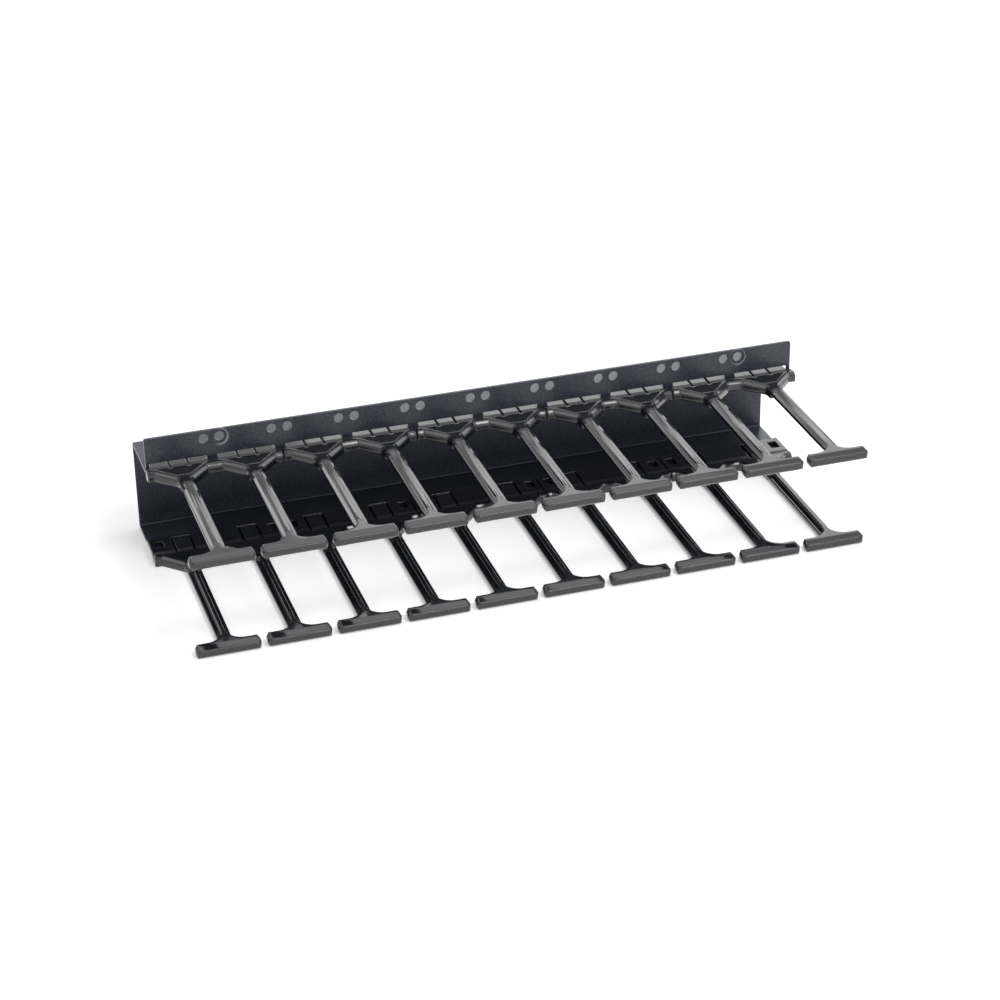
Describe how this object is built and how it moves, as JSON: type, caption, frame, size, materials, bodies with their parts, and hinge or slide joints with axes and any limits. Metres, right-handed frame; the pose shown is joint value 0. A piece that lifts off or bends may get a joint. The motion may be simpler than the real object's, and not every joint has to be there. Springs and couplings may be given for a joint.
{
  "type": "vertical cable manager",
  "caption": "Section of a black vertical cable manager: a folded steel channel with a drilled strip, and two rows of snap-in plastic fingers with T-shaped heads.",
  "frame": {"origin": "centre of the bounding box's bottom, under the lower row of fingers", "axes": "+X along the rack's height and the channel's length, -Y the way the fingers point, +Z from the lower row to the drilled strip"},
  "size_m": [0.4436, 0.1778, 0.0876],
  "materials": {
    "powder_coated_steel": "satin",
    "black_plastic": "glossy"
  },
  "bodies": {
    "root": {"bracket": "powder_coated_steel", "lower_finger_pair_1": "black_plastic", "lower_finger_pair_2": "black_plastic", "lower_finger_pair_3": "black_plastic", "lower_finger_pair_4": "black_plastic", "lower_finger_pair_5": "black_plastic", "upper_finger_pair_1": "black_plastic", "upper_finger_pair_2": "black_plastic", "upper_finger_pair_3": "black_plastic", "upper_finger_pair_4": "black_plastic", "upper_finger_pair_5": "black_plastic"}
  },
  "joints": []
}
